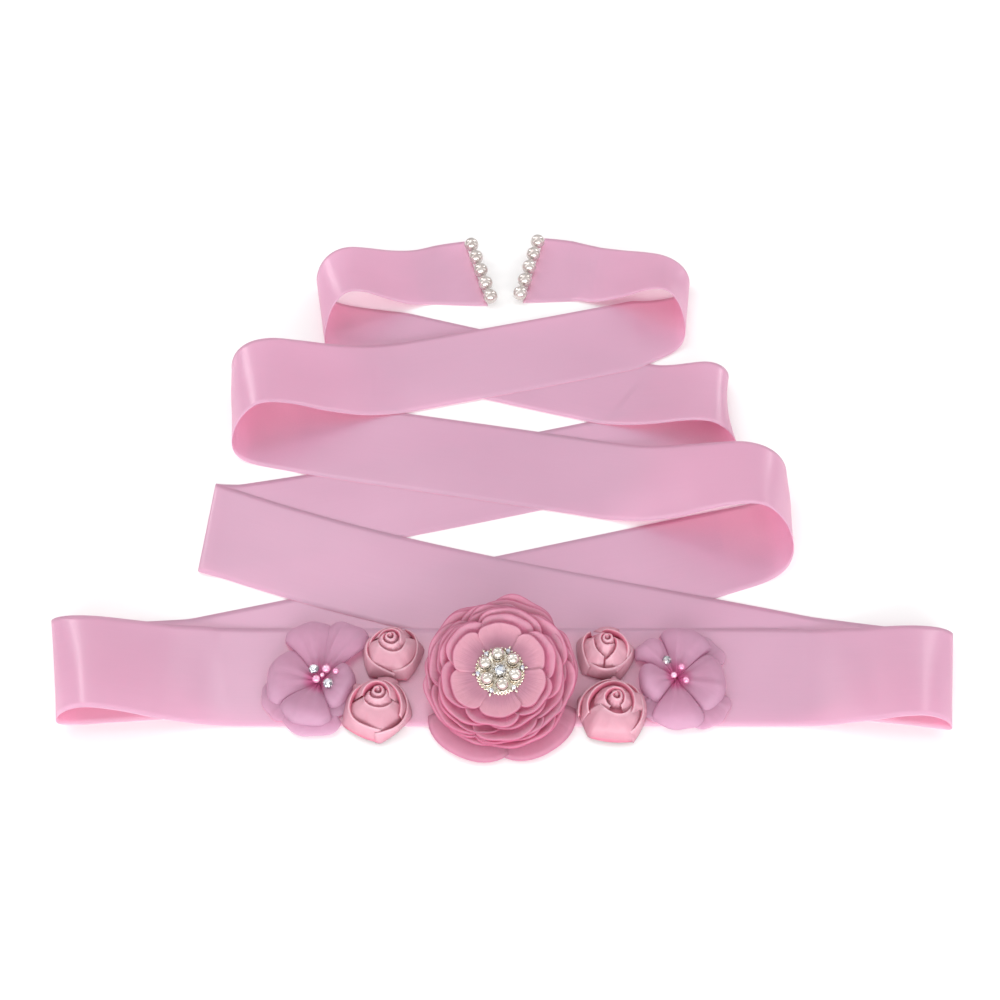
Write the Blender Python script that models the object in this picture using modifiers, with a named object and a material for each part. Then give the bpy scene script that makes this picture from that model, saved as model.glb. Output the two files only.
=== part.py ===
"""A bridal sash: one long satin ribbon laid out in a zigzag, with fabric flowers on its front stretch.

Distances in the tables are millimetres, +X to the right, +Y away from the viewer and +Z up; the meshes are
made in metres. The ribbon is one band in life. Here it is cut into the stretches that lie on the surface and
the loops between them, with a hairline gap at each cut.
"""

import math
from collections import namedtuple
from functools import partial

import bmesh
import bpy
import numpy as np
from mathutils import Matrix, Vector

MM = 0.001
RIBBON_WIDTH = 57.0
WALL = 1.0
GAP = 0.3
LAYER = WALL + GAP

# The middle of the whole sash's box, from the X = 0 line and the ribbon's own Y = 0 line
BOX_MIDDLE = (1.09, -14.53, 0.0)

# The cloths and trimmings
Finish = namedtuple("Finish", "colour roughness metallic")
FINISHES = {
    "satin": Finish((0.63, 0.40, 0.53), 0.35, 0.0),
    "rolled_satin": Finish((0.82, 0.43, 0.50), 0.4, 0.0),
    "petal_cloth": Finish((0.70, 0.34, 0.44), 0.7, 0.0),
    "chiffon": Finish((0.60, 0.42, 0.55), 0.8, 0.0),
    "pearl": Finish((0.78, 0.74, 0.68), 0.25, 0.0),
    "end_pearl": Finish((0.78, 0.74, 0.68), 0.25, 0.0),
    "silver": Finish((0.75, 0.73, 0.70), 0.3, 1.0),
    "cut_glass": Finish((0.90, 0.90, 0.92), 0.05, 0.0),
}

# A stretch of ribbon on the surface: where its near edge starts and ends, the slope of that edge there,
# and how many layers of ribbon lie under it. A cut moves the far corner of that end along X, and a lift
# raises it.
Stretch = namedtuple(
    "Stretch",
    "name left_x left_y left_slope left_cut left_lift right_x right_y right_slope right_cut right_lift layers",
)
STRETCHES = (
    Stretch("front_band", -130, -187, 0.00, 0, 0, 145, -187, 0.00, 0, 0, 2),
    Stretch("left_tail_1", -165, -182.5, 0.24, 0, 0, 105, -114.5, 0.255, 0, 0, 0),
    Stretch("left_tail_2", -112, -25.0, -0.20, 0, 0, 60, -58.0, -0.21, 0, 0, 1),
    Stretch("left_tail_3", -60, 22.0, 0.24, 0, 2, 86, 59.5, 0.27, 0, 2, 2),
    Stretch("left_tail_end", 15, 120.0, 0.0, 15, 6, 50, 121.5, 0.04, 0, 2, 0),
    Stretch("right_tail_1", -150, -98.0, -0.38, 0, 0, 165, -181.5, -0.25, 0, 0, 1),
    Stretch("right_tail_2", -150, -90.5, 0.18, 0, 0, 90, -33.5, 0.26, 0, 0, 0),
    Stretch("right_tail_3", -60, 50.0, -0.32, 0, 0, 58, 14.5, -0.28, 34, 0, 1),
    Stretch("right_tail_end", -45, 118.5, -0.05, 0, 0.5, -8, 117.0, 0.02, -16, 6, 0),
)

# A loop of ribbon between the two stretches that it joins: how many layers lie under it, where its near and
# its far edge turn back, and how high each edge stands. With an ease under 1, the near edge swings back
# sooner after its tip.
Loop = namedtuple(
    "Loop",
    "name lower upper side layers near_x near_y near_height far_x far_y far_height ease",
)
LOOPS = (
    Loop("front_left_loop", "left_tail_1", "front_band", -1, 0, -219, -188, 25, -235, -130, 14, 1.0),
    Loop("front_right_loop", "right_tail_1", "front_band", 1, 0, 223, -191, 19, 236, -138, 12, 1.0),
    Loop("right_loop_1", "left_tail_1", "left_tail_2", 1, 0, 159, -88, 42, 162, -37, 27, 1.0),
    Loop("left_fold", "right_tail_2", "right_tail_1", -1, 0, -165, -93, 4, -164, -32, 5, 1.0),
    Loop("left_loop_1", "left_tail_2", "left_tail_3", -1, 0, -156, -11, 35, -163, 46, 28, 1.0),
    Loop("right_loop_2", "right_tail_2", "right_tail_3", 1, 0, 139, -9, 24, 140, 46, 14, 1.0),
    Loop("left_loop_2", "right_tail_3", "right_tail_end", -1, 0, -110, 76, 30, -119, 125, 26, 0.6),
    Loop("right_loop_3", "left_tail_3", "left_tail_end", 1, 2, 117, 84, 29, 124, 128, 16, 0.7),
)

# How the edges of every loop stand: along is the share of the reach, up the share of the height. The near edge
# slopes down to its tip, and the far edge stands rounder.
Station = namedtuple("Station", "along up")
NEAR_PROFILE = (
    Station(0.00, 0.00),
    Station(0.38, 0.00),
    Station(0.72, 0.00),
    Station(0.93, 0.06),
    Station(1.00, 0.24),
    Station(0.965, 0.50),
    Station(0.885, 0.74),
    Station(0.76, 0.88),
    Station(0.58, 0.72),
    Station(0.38, 0.38),
    Station(0.18, 0.11),
    Station(0.00, 0.00),
)
FAR_PROFILE = (
    Station(0.00, 0.00),
    Station(0.38, 0.00),
    Station(0.72, 0.03),
    Station(0.92, 0.18),
    Station(1.00, 0.48),
    Station(0.96, 0.80),
    Station(0.86, 0.97),
    Station(0.72, 0.93),
    Station(0.55, 0.66),
    Station(0.36, 0.33),
    Station(0.17, 0.09),
    Station(0.00, 0.00),
)
TIP_STATION = 4

# How finely the ribbon is divided: steps along a loop, the longest step of a stretch, strips across the width
LOOP_STEPS = 19
STRETCH_STEP = 24.0
ACROSS = 3
CURVE_STEPS = 12

# The large flower: round layers of cloth stacked on the front band, each cut into rounded petals. It tips
# towards the viewer, so a layer's middle moves forward as it rises.
FRONT_TOP = WALL + 2 * LAYER
FLOWER_Y = -163.0
FLOWER_LEAN = 0.24
FLOWER_TILT = 0.19
BOWL_DEPTH = 6.0
BOWL_RADIUS = 41.0
CURL_START = 0.8
SCALLOP_ROUNDING = 0.6
FLOWER_SEGMENTS = 30

# Each layer is thick in its middle, where it rests on the one below, and thin beyond this many hub radii
HUB_RADIUS = 7.0
HUB_END = 1.6
Layer = namedtuple("Layer", "name radius petals turn notch height curl")
FLOWER_LAYERS = (
    Layer("flower_layer_1", 41.5, 6, 8, 0.10, 9.6, 1.6),
    Layer("flower_layer_2", 39.0, 5, 40, 0.11, 11.7, 1.8),
    Layer("flower_layer_3", 36.0, 6, 35, 0.11, 13.8, 1.8),
    Layer("flower_layer_4", 33.0, 5, 5, 0.12, 15.9, 1.6),
    Layer("flower_layer_5", 29.5, 6, 20, 0.12, 18.0, 1.2),
    Layer("flower_layer_6", 25.5, 6, 0, 0.14, 20.0, 0.3),
)
LAYER_RINGS = (0.25, 0.5, 0.72, 0.88, 1.0)

# The flat petals under the large flower: long ones reach over the band's near edge, short ones stay on it
BACKING_HEIGHT = 6.6
BACKING_REACH = 47.0
BACKING_SHORT = 0.70
BACKING_DROP = 0.3
BACKING_TILT = 0.05
BACKING_PETALS = 6
BACKING_TURN = -117
BACKING_NOTCH = 0.12
LONG_PETAL_START = 0.2
LONG_PETAL_END = 0.6

# The brooch: a scalloped plate, a ring of pearls and a cut stone
BROOCH_RADIUS = 11.5
BROOCH_PLATE = 1.6
BROOCH_SEGMENTS = 24
BROOCH_RINGS = (0.5, 1.0)
BROOCH_NOTCH = 0.08
BROOCH_PEARLS = 6
BROOCH_RING = 8.0
BROOCH_PEARL = 3.05
BROOCH_TURN = 38
STONE_RADIUS = 3.0
STONE_TABLE = 1.8
STONE_HEIGHT = 3.4
STONE_SEGMENTS = 12

# A rosette: its middle, how far its spiral centre lies from there, its radius, and how high it stands
Rosette = namedtuple("Rosette", "name x y swirl_x swirl_y radius height turn")
ROSETTES = (
    Rosette("left_upper_rosette", -54.0, -149.5, -3.5, 5.0, 15.3, 13.0, 20),
    Rosette("left_lower_rosette", -61.5, -181.5, -1.5, 3.0, 16.8, 12.5, 140),
    Rosette("right_upper_rosette", 54.0, -149.5, 0.5, 3.5, 15.3, 13.0, 200),
    Rosette("right_lower_rosette", 56.5, -182.5, 2.5, 2.5, 17.0, 12.5, 300),
)
ROSETTE_SEGMENTS = 26
ROSETTE_RINGS = 9

# Its outline is a little three-sided, and its dome falls at the rim to the thickness of the cloth
ROSETTE_SIDES = 3
ROSETTE_FLATTENING = 0.025
ROSETTE_RIM = 1.0
ROSETTE_DOME_LOSS = 3.0
ROSETTE_DOME_POWER = 2.6
ROSETTE_HEART_DROP = 1.2

# The rolled cloth's folds, raised on the dome: each rises slowly outwards, falls quickly, and dies at the rim
ROSETTE_TURNS = 3.0
ROSETTE_TWIST_POWER = 0.8
ROSETTE_FOLD = 1.3
FOLD_RISE = 0.75
FOLD_RIM_FADE = 2.2
FOLD_AT_RIM = 0.2

# A chiffon flower: five puffed petals round a middle, each with the angles of its two creases and its reach
Petal = namedtuple("Petal", "start end reach")
CHIFFON_FLOWERS = {
    "left_chiffon_petal": (
        (-91.5, -165.0),
        (
            Petal(130, 214, 27),
            Petal(88, 130, 34),
            Petal(46, 88, 35),
            Petal(-70, 46, 15.5),
            Petal(214, 290, 29),
        ),
    ),
    "right_chiffon_petal": (
        (89.5, -163.0),
        (
            Petal(-59, 41, 25),
            Petal(41, 104, 30),
            Petal(104, 150, 26),
            Petal(150, 235, 17.5),
            Petal(235, 301, 29),
        ),
    ),
}
PETAL_START = 3.0
PETAL_SECTIONS = 7
PETAL_ARC = 9
PETAL_FOOT = 0.4
PETAL_NOTCH = 0.14
PETAL_NOTCH_POWER = 4
PETAL_ROUNDING = 0.8

# A petal's height over its foot: at its inner end, at its fullest, and how far it falls at the tip
PETAL_LOW = 2.0
PETAL_PUFF = 9.0
PETAL_INNER_SHARE = 0.45
PETAL_TIP_FALL = 0.75
PETAL_TIP_POWER = 4

# The pearls along the cut ends, half on the ribbon: their places across its width, and how far out they sit
END_PEARL = 5.0
END_PEARLS = 5
END_PEARL_FIRST = 0.05
END_PEARL_LAST = 0.85
END_PEARL_OUT = 2.5
PEARL_DIVISIONS = 2


def clear_scene():
    for old in list(bpy.data.objects):
        bpy.data.objects.remove(old, do_unlink=True)


def make_collection(name):
    collection = bpy.data.collections.new(name)
    bpy.context.scene.collection.children.link(collection)
    return collection


def make_material(name):
    finish = FINISHES[name]
    material = bpy.data.materials.new(name)
    material.use_nodes = True
    shader = material.node_tree.nodes["Principled BSDF"]
    shader.inputs["Base Color"].default_value = (*finish.colour, 1.0)
    shader.inputs["Roughness"].default_value = finish.roughness
    shader.inputs["Metallic"].default_value = finish.metallic
    return material


def smooth_curve(points, count):
    """Points at equal steps of length along a smooth curve through the given points."""
    points = np.asarray(points, float)
    ends = np.vstack([2 * points[0] - points[1], points, 2 * points[-1] - points[-2]])
    dense = []
    for i in range(1, len(ends) - 2):
        before, start, end, after = ends[i - 1 : i + 3]
        bend = 2 * before - 5 * start + 4 * end - after
        twist = 3 * start - before - 3 * end + after
        for t in np.linspace(0, 1, CURVE_STEPS, endpoint=False):
            dense.append((2 * start + (end - before) * t + bend * t**2 + twist * t**3) / 2)
    dense.append(points[-1])
    dense = np.array(dense)
    steps = np.linalg.norm(np.diff(dense, axis=0), axis=1)
    length = np.concatenate([[0], np.cumsum(steps)])
    wanted = np.linspace(0, length[-1], count)
    return np.column_stack([np.interp(wanted, length, column) for column in dense.T])


def middle_height(layers):
    """The height of a ribbon's middle when it lies on this many others."""
    return WALL / 2 + layers * LAYER


def near_edge(row, x):
    """The near edge's y and slope at x: a cubic between the two ends of the stretch."""
    length = row.right_x - row.left_x
    t = (x - row.left_x) / length
    rise = row.right_y - row.left_y
    y = (
        row.left_y
        + rise * (3 * t**2 - 2 * t**3)
        + length * row.left_slope * (t - 2 * t**2 + t**3)
        + length * row.right_slope * (t**3 - t**2)
    )
    slope = (
        rise / length * (6 * t - 6 * t**2)
        + row.left_slope * (1 - 4 * t + 3 * t**2)
        + row.right_slope * (3 * t**2 - 2 * t)
    )
    return y, slope


def edge_points(row, x):
    """The near and the far edge of a stretch at x."""
    y, slope = near_edge(row, x)
    share = (x - row.left_x) / (row.right_x - row.left_x)
    z = middle_height(row.layers)
    far_x = x + row.left_cut * (1 - share) + row.right_cut * share
    far_y = y + (far_x - x) * slope + RIBBON_WIDTH * math.sqrt(1 + slope**2)
    lift = row.left_lift * (1 - share) + row.right_lift * share
    return np.array([x, y, z]), np.array([far_x, far_y, z + lift])


def stretch_edges(row):
    count = max(3, round((row.right_x - row.left_x) / STRETCH_STEP) + 1)
    pairs = [edge_points(row, x) for x in np.linspace(row.left_x + GAP, row.right_x - GAP, count)]
    return np.array([near for near, _ in pairs]), np.array([far for _, far in pairs])


def loop_edge(profile, start, end, layers, tip_x, tip_y, height, ease=1.0):
    """One edge of a loop, from the lower stretch out to the tip and back over to the upper stretch."""
    stations = []
    last = len(profile) - 1
    for i, station in enumerate(profile):
        foot = start + (end - start) * i / last
        x = foot[0] + (tip_x - foot[0]) * station.along
        if i <= TIP_STATION:
            y = start[1] + (tip_y - start[1]) * (i / TIP_STATION)
        else:
            y = tip_y + (end[1] - tip_y) * ((i - TIP_STATION) / (last - TIP_STATION)) ** ease
        foot_z = middle_height(layers) if 0 < i <= TIP_STATION else foot[2]
        z = foot_z + (height - foot_z) * station.up
        stations.append((x, y, z))
    curve = smooth_curve(stations, LOOP_STEPS)
    curve[:, 2] = np.maximum(curve[:, 2], middle_height(layers))
    return curve


def loop_edges(row, stretches):
    at = "right_x" if row.side > 0 else "left_x"
    lower = stretches[row.lower]
    upper = stretches[row.upper]
    near_start, far_start = edge_points(lower, getattr(lower, at))
    near_end, far_end = edge_points(upper, getattr(upper, at))
    near = loop_edge(
        NEAR_PROFILE, near_start, near_end, row.layers, row.near_x, row.near_y, row.near_height, row.ease
    )
    far = loop_edge(FAR_PROFILE, far_start, far_end, row.layers, row.far_x, row.far_y, row.far_height)
    return near, far


def ribbon_piece(name, near, far, material, collection):
    """A band between two edges, given its thickness by Solidify."""
    mesh = bpy.data.meshes.new(name)
    shell = bmesh.new()
    rows = []
    for start, end in zip(near, far):
        across = [start + (end - start) * k / ACROSS for k in range(ACROSS + 1)]
        rows.append([shell.verts.new(Vector(point) * MM) for point in across])
    for here, after in zip(rows, rows[1:]):
        for k in range(ACROSS):
            shell.faces.new((here[k], after[k], after[k + 1], here[k + 1]))
    shell.to_mesh(mesh)
    shell.free()
    mesh.materials.append(material)
    mesh.shade_smooth()
    piece = bpy.data.objects.new(name, mesh)
    piece.location = -Vector(BOX_MIDDLE) * MM
    collection.objects.link(piece)
    wall = piece.modifiers.new("wall", "SOLIDIFY")
    wall.thickness = WALL * MM
    wall.offset = 0.0
    wall.use_even_offset = True
    return piece


def build_ribbon(collection):
    satin = make_material("satin")
    stretches = {row.name: row for row in STRETCHES}
    for row in STRETCHES:
        ribbon_piece(row.name, *stretch_edges(row), satin, collection)
    for row in LOOPS:
        ribbon_piece(row.name, *loop_edges(row, stretches), satin, collection)


def add_mesh(name, shell, material, collection):
    """A finished object from a bmesh in millimetres, with its faces turned outwards."""
    bmesh.ops.scale(shell, vec=Vector((MM, MM, MM)), verts=shell.verts)
    bmesh.ops.recalc_face_normals(shell, faces=shell.faces)
    mesh = bpy.data.meshes.new(name)
    shell.to_mesh(mesh)
    shell.free()
    mesh.materials.append(material)
    mesh.shade_smooth()
    piece = bpy.data.objects.new(name, mesh)
    piece.location = -Vector(BOX_MIDDLE) * MM
    collection.objects.link(piece)
    return piece


def close_disc(shell, rings, centre, flip):
    """Faces of a round sheet from its rings of points, inner to outer."""
    count = len(rings[0])
    for k in range(count):
        after = (k + 1) % count
        corners = (centre, rings[0][k], rings[0][after])
        shell.faces.new(corners[::-1] if flip else corners)
        for inner, outer in zip(rings, rings[1:]):
            corners = (inner[k], outer[k], outer[after], inner[after])
            shell.faces.new(corners[::-1] if flip else corners)


def disc_body(name, top, bottom, material, collection):
    """A closed body between two round sheets; each is a middle point and its rings."""
    shell = bmesh.new()
    sheets = []
    for middle, rings in (top, bottom):
        centre = shell.verts.new(middle)
        sheets.append((centre, [[shell.verts.new(point) for point in ring] for ring in rings]))
    close_disc(shell, sheets[0][1], sheets[0][0], False)
    close_disc(shell, sheets[1][1], sheets[1][0], True)
    upper, lower = sheets[0][1][-1], sheets[1][1][-1]
    for k in range(len(upper)):
        after = (k + 1) % len(upper)
        shell.faces.new((upper[k], lower[k], lower[after], upper[after]))
    return add_mesh(name, shell, material, collection)


def scallop(angle, petals, turn, notch):
    """How far a scalloped edge reaches at an angle, as a share of its radius."""
    lobe = abs(math.cos(petals * (angle - math.radians(turn)) / 2))
    return 1 - notch * (1 - lobe**SCALLOP_ROUNDING)


def smooth_step(value):
    value = min(1.0, max(0.0, value))
    return value * value * (3 - 2 * value)


def hub_share(reach):
    """How much of the thick middle of a layer is left at this distance from its centre."""
    return smooth_step(HUB_END - reach / HUB_RADIUS)


def layer_centre(height):
    return 0.0, FLOWER_Y - FLOWER_LEAN * (height - FRONT_TOP)


def layer_top(row, x, y, edge=0.0):
    """The height of a flower layer over a point; edge grows to 1 in the curl at its rim."""
    centre_x, centre_y = layer_centre(row.height)
    away = math.hypot(x - centre_x, y - centre_y)
    bowl = BOWL_DEPTH * (away / BOWL_RADIUS) ** 2
    return row.height + FLOWER_TILT * (y - centre_y) + bowl + row.curl * edge


def backing_top(x, y):
    away = math.hypot(x, y - FLOWER_Y) / BACKING_REACH
    return BACKING_HEIGHT + BACKING_TILT * (y - FLOWER_Y) - BACKING_DROP * away**2


def backing_reach(angle):
    """The backing's petals are long at the front and short elsewhere."""
    forwards = -math.sin(angle)
    front = smooth_step((forwards - LONG_PETAL_START) / (LONG_PETAL_END - LONG_PETAL_START))
    share = BACKING_SHORT + (1 - BACKING_SHORT) * front
    return BACKING_REACH * share * scallop(angle, BACKING_PETALS, BACKING_TURN, BACKING_NOTCH)


def angles(count):
    return [2 * math.pi * k / count for k in range(count)]


def flower_backing(material, collection):
    centre = (0.0, FLOWER_Y)
    hub = backing_top(*centre)
    top_rings = []
    bottom_rings = []
    for share in LAYER_RINGS:
        top_ring = []
        bottom_ring = []
        for angle in angles(FLOWER_SEGMENTS):
            reach = share * backing_reach(angle)
            x = centre[0] + reach * math.cos(angle)
            y = centre[1] + reach * math.sin(angle)
            z = backing_top(x, y)
            wall = WALL + (hub - FRONT_TOP - GAP - WALL) * hub_share(reach)
            top_ring.append((x, y, z))
            bottom_ring.append((x, y, z - wall))
        top_rings.append(top_ring)
        bottom_rings.append(bottom_ring)
    top = ((*centre, hub), top_rings)
    bottom = ((*centre, FRONT_TOP + GAP), bottom_rings)
    disc_body("backing_petals", top, bottom, material, collection)


def flower_layer(row, below, material, collection):
    """A bowl of petals whose middle is thick enough to rest on the layer below."""
    centre = layer_centre(row.height)
    top_rings = []
    bottom_rings = []
    for share in LAYER_RINGS:
        top_ring = []
        bottom_ring = []
        edge = smooth_step((share - CURL_START) / (1 - CURL_START))
        for angle in angles(FLOWER_SEGMENTS):
            reach = share * row.radius * scallop(angle, row.petals, row.turn, row.notch)
            x = centre[0] + reach * math.cos(angle)
            y = centre[1] + reach * math.sin(angle)
            z = layer_top(row, x, y, edge)
            hub = hub_share(reach)
            seat = below(x, y) + GAP
            top_ring.append((x, y, z))
            bottom_ring.append((x, y, (z - WALL) * (1 - hub) + seat * hub))
        top_rings.append(top_ring)
        bottom_rings.append(bottom_ring)
    top = ((*centre, row.height), top_rings)
    bottom = ((*centre, below(*centre) + GAP), bottom_rings)
    disc_body(row.name, top, bottom, material, collection)


def ball(name, centre, radius, material, collection):
    shell = bmesh.new()
    bmesh.ops.create_icosphere(shell, subdivisions=PEARL_DIVISIONS, radius=radius)
    bmesh.ops.translate(shell, vec=Vector(centre), verts=shell.verts)
    return add_mesh(name, shell, material, collection)


def build_brooch(collection):
    """A scalloped metal plate tipped like the top layer, with a ring of pearls round a cut stone."""
    pearl = make_material("pearl")
    seat = FLOWER_LAYERS[-1]
    centre = layer_centre(seat.height)
    rings = []
    for share in BROOCH_RINGS:
        ring = []
        for angle in angles(BROOCH_SEGMENTS):
            reach = share * BROOCH_RADIUS * scallop(angle, BROOCH_PEARLS, BROOCH_TURN, BROOCH_NOTCH)
            x = centre[0] + reach * math.cos(angle)
            y = centre[1] + reach * math.sin(angle)
            ring.append((x, y, layer_top(seat, x, y) + GAP))
        rings.append(ring)
    bottom = ((*centre, layer_top(seat, *centre) + GAP), rings)
    top = (
        (*centre, bottom[0][2] + BROOCH_PLATE),
        [[(x, y, z + BROOCH_PLATE) for x, y, z in ring] for ring in rings],
    )
    disc_body("brooch_plate", top, bottom, make_material("silver"), collection)
    tip = Matrix.Rotation(math.atan(FLOWER_TILT), 4, "X")
    face = Vector((*centre, bottom[0][2] + BROOCH_PLATE))
    for k in range(BROOCH_PEARLS):
        angle = math.radians(BROOCH_TURN + 360 * k / BROOCH_PEARLS)
        flat = Vector((BROOCH_RING * math.cos(angle), BROOCH_RING * math.sin(angle), BROOCH_PEARL + 2 * GAP))
        ball(f"brooch_pearl_{k + 1}", face + tip @ flat, BROOCH_PEARL, pearl, collection)
    shell = bmesh.new()
    bmesh.ops.create_cone(
        shell,
        cap_ends=True,
        segments=STONE_SEGMENTS,
        radius1=STONE_RADIUS,
        radius2=STONE_TABLE,
        depth=STONE_HEIGHT,
    )
    bmesh.ops.translate(shell, vec=(0, 0, STONE_HEIGHT / 2 + 2 * GAP), verts=shell.verts)
    bmesh.ops.transform(shell, matrix=Matrix.Translation(face) @ tip, verts=shell.verts)
    add_mesh("brooch_stone", shell, make_material("cut_glass"), collection)


def rosette_height(share, turned, height):
    """How high a rosette's cloth stands at a share of its radius and an angle from its turn."""
    spiral = (share**ROSETTE_TWIST_POWER * ROSETTE_TURNS + turned / (2 * math.pi)) % 1.0
    dome = math.sqrt(max(0.0, 1 - share**ROSETTE_DOME_POWER))
    fold = ROSETTE_FOLD * smooth_step(min(spiral / FOLD_RISE, (1 - spiral) / (1 - FOLD_RISE)))
    fade = min(1.0, FOLD_RIM_FADE * (1 - share) + FOLD_AT_RIM)
    return ROSETTE_RIM + (height - ROSETTE_DOME_LOSS) * dome + fold * fade


def rosette(row, material, collection):
    """A rolled rose: a dome with the folds of its spiral raised on it, flat underneath."""
    base = FRONT_TOP + GAP
    heart = (row.x + row.swirl_x, row.y + row.swirl_y)
    top_rings = []
    for ring in range(1, ROSETTE_RINGS + 1):
        share = ring / ROSETTE_RINGS
        points = []
        for angle in angles(ROSETTE_SEGMENTS):
            turned = angle - math.radians(row.turn)
            outline = row.radius * (1 - ROSETTE_FLATTENING * (1 - math.cos(ROSETTE_SIDES * turned)))
            rim = (row.x + outline * math.cos(angle), row.y + outline * math.sin(angle))
            x = heart[0] + (rim[0] - heart[0]) * share
            y = heart[1] + (rim[1] - heart[1]) * share
            points.append((x, y, base + rosette_height(share, turned, row.height)))
        top_rings.append(points)
    top = ((*heart, base + row.height - ROSETTE_HEART_DROP), top_rings)
    rim_ring = [(x, y, base) for x, y, _ in top_rings[-1]]
    half_ring = [((x + heart[0]) / 2, (y + heart[1]) / 2, base) for x, y, _ in rim_ring]
    bottom = ((*heart, base), [half_ring, rim_ring])
    disc_body(row.name, top, bottom, material, collection)


def petal_height(share):
    """A puffed petal's height over its foot at a share of its length."""
    full = PETAL_INNER_SHARE + (1 - PETAL_INNER_SHARE) * math.sin(share * math.pi)
    return PETAL_LOW + (PETAL_PUFF - PETAL_LOW) * full * (1 - PETAL_TIP_FALL * share**PETAL_TIP_POWER)


def puffed_petal(name, centre, row, material, collection):
    """A petal folded from a round of chiffon and gathered at its inner end: it puffs up between its creases."""
    base = FRONT_TOP + GAP
    middle = math.radians((row.start + row.end) / 2)
    half = math.radians((row.end - row.start) / 2)
    shell = bmesh.new()
    sections = []
    for k in range(PETAL_SECTIONS):
        share = k / (PETAL_SECTIONS - 1)
        along = PETAL_START + (row.reach - PETAL_START) * math.sin(share * math.pi / 2)
        high = petal_height(share)
        upper = []
        lower = []
        for j in range(PETAL_ARC):
            side = -1 + 2 * j / (PETAL_ARC - 1)
            reach = along * (1 - PETAL_NOTCH * share * abs(side) ** PETAL_NOTCH_POWER)
            angle = middle + side * (half - math.asin(GAP / reach))
            x = centre[0] + reach * math.cos(angle)
            y = centre[1] + reach * math.sin(angle)
            z = base + PETAL_FOOT + high * math.cos(side * math.pi / 2) ** PETAL_ROUNDING
            upper.append(shell.verts.new((x, y, z)))
            lower.append(shell.verts.new((x, y, base)))
        sections.append(upper + lower[::-1])
    count = 2 * PETAL_ARC
    for here, after in zip(sections, sections[1:]):
        for j in range(count):
            near = (j + 1) % count
            shell.faces.new((here[j], here[near], after[near], after[j]))
    for end in (sections[0], sections[-1]):
        for j in range(PETAL_ARC - 1):
            shell.faces.new((end[j], end[count - 1 - j], end[count - 2 - j], end[j + 1]))
    add_mesh(name, shell, material, collection)


def build_flowers(collection):
    petal = make_material("petal_cloth")
    rolled = make_material("rolled_satin")
    chiffon = make_material("chiffon")
    flower_backing(petal, collection)
    below = backing_top
    for row in FLOWER_LAYERS:
        flower_layer(row, below, petal, collection)
        below = partial(layer_top, row)
    build_brooch(collection)
    for row in ROSETTES:
        rosette(row, rolled, collection)
    for name, (centre, petals) in CHIFFON_FLOWERS.items():
        for k, row in enumerate(petals):
            puffed_petal(f"{name}_{k + 1}", centre, row, chiffon, collection)


def build_end_pearls(collection):
    """A row of pearls sewn along the cut end of each tail, half on and half off it."""
    pearl = make_material("end_pearl")
    for row in STRETCHES:
        if not row.name.endswith("_end"):
            continue
        outwards = 1 if row.right_cut else -1
        near, far = edge_points(row, row.right_x if row.right_cut else row.left_x)
        rest = WALL / 2 + GAP + math.sqrt(END_PEARL**2 - END_PEARL_OUT**2)
        for k in range(END_PEARLS):
            share = END_PEARL_FIRST + (END_PEARL_LAST - END_PEARL_FIRST) * k / (END_PEARLS - 1)
            place = near + (far - near) * share + np.array([outwards * END_PEARL_OUT, 0, rest])
            name = row.name.replace("_end", f"_pearl_{k + 1}")
            ball(name, place, END_PEARL, pearl, collection)


def main():
    clear_scene()
    collection = make_collection("bridal_sash")
    build_ribbon(collection)
    build_flowers(collection)
    build_end_pearls(collection)


main()
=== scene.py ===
"""The looks of the bridal sash: one satin ribbon in a zigzag, cloth flowers, a pearl brooch and pearl ends.

The tables are in millimetres in the part's own plan: +X to the right, +Y away from the viewer, +Z up.
"""
import math
import random
from collections import namedtuple

import bmesh
import bpy
import numpy as np
from mathutils import Matrix, Vector


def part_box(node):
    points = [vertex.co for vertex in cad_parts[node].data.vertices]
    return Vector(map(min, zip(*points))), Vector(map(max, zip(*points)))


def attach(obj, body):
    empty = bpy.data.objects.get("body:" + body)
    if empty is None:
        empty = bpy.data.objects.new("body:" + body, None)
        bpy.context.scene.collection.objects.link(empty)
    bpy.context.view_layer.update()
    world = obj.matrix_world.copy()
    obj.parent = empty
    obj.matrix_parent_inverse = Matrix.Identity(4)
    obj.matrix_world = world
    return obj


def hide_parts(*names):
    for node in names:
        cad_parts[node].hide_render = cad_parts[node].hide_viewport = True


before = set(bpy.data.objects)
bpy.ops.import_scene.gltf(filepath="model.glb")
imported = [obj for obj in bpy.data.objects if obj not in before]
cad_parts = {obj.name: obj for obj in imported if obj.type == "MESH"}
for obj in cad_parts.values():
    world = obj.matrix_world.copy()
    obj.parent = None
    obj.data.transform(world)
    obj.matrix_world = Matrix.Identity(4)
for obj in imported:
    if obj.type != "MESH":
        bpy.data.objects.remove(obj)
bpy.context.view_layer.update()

MM = 0.001
# The middle of the sash's box in the plan that the tables use
PLAN_MIDDLE = np.array([1.09, -14.53, 0.0])
RIBBON_WIDTH = 57.0

# The solids need thick walls; here the ribbon's layers lie close together, and so the flowers settle
FIRST_LAYER = 0.2
LAYER_STEP = 0.36
SOLID_FRONT_TOP = 3.6
SETTLE = np.array([0.0, 1.42, -2.5])

# The camera at the photograph's angle, for a square picture
CAMERA_PLACE = (-0.00109, -0.45447, 0.54462)
CAMERA_DOWN = 52
CAMERA_LENS = 43.6
CAMERA_SENSOR = 36

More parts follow.
